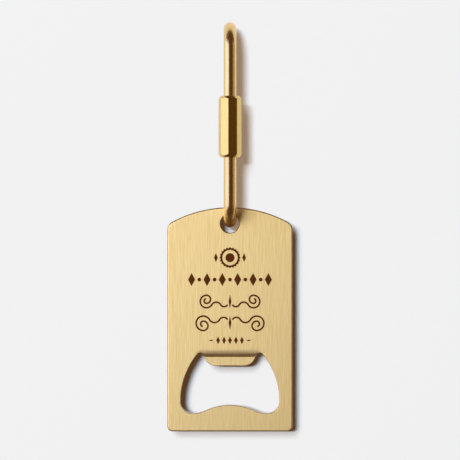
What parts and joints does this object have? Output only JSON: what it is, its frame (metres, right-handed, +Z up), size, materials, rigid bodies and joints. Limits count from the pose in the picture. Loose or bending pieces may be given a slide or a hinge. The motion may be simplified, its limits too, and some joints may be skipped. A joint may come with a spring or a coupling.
{
  "type": "keychain bottle opener",
  "caption": "Flat brushed opener plate with an arched top, a hang hole and a crown-cap window with a set-back lip, hanging on an oval screw-lock ring.",
  "frame": {"origin": "hang point: the inner surface of the ring's upper bend, where a hook or key ring bears", "axes": "+Z up along the ring and plate, +X across the plate, -Y out of the plate's front face"},
  "size_m": [0.04, 0.0206, 0.1308],
  "materials": {
    "rod_brass": "polished round rod",
    "sleeve_brass": "satin turned and milled bar",
    "plate_brass": "lengthwise brushed sheet"
  },
  "bodies": {
    "ring": {"link_rod": "rod_brass"},
    "sleeve": {"lock_sleeve": "sleeve_brass"},
    "plate": {"opener_plate": "plate_brass"}
  },
  "joints": [
    {"name": "sleeve_travel", "type": "slide", "parent": "ring", "child": "sleeve", "axis": [0, 0, 1], "range_m": [0, 0.0139]},
    {"name": "plate_swing", "type": "hinge", "parent": "ring", "child": "plate", "pos_m": [0, 0, -0.0597], "axis": [0, 1, 0], "range_deg": [-155, 155]}
  ]
}
